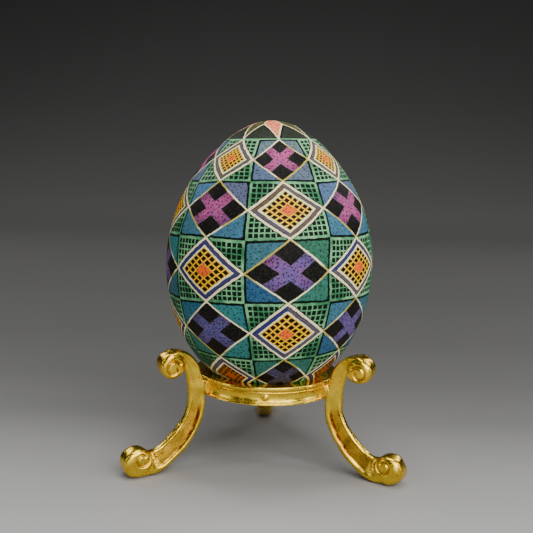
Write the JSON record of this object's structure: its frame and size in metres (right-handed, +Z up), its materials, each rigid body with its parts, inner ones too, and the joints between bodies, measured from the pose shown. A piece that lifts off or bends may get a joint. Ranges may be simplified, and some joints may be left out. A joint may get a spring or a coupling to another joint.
{
  "type": "pysanka decorated egg",
  "caption": "Wax-resist decorated hen's egg, point up, resting in a beaded ring that is held up by scroll legs; the egg lifts out.",
  "frame": {"origin": "on the surface that the stand rests on, under the middle of the whole object box; the axis of the egg and ring stands 5.6 mm in front of it, because of the rear leg", "axes": "+Z up along the egg's axis; +Y towards the rear leg; +X to the right as seen from the front"},
  "size_m": [0.0596, 0.0552, 0.0729],
  "materials": {
    "dyed_shell": "satin varnish over dyed shell",
    "gold_plate": "polished"
  },
  "bodies": {
    "stand": {"support_ring": "gold_plate", "leg_left": "gold_plate", "leg_right": "gold_plate", "leg_rear": "gold_plate", "stud_front": "gold_plate", "stud_left": "gold_plate", "stud_right": "gold_plate"},
    "egg": {"eggshell": "dyed_shell"}
  },
  "joints": [
    {"name": "egg_lift", "type": "slide", "parent": "stand", "child": "egg", "axis": [0, 0, 1], "range_m": [0, 0.035]}
  ]
}
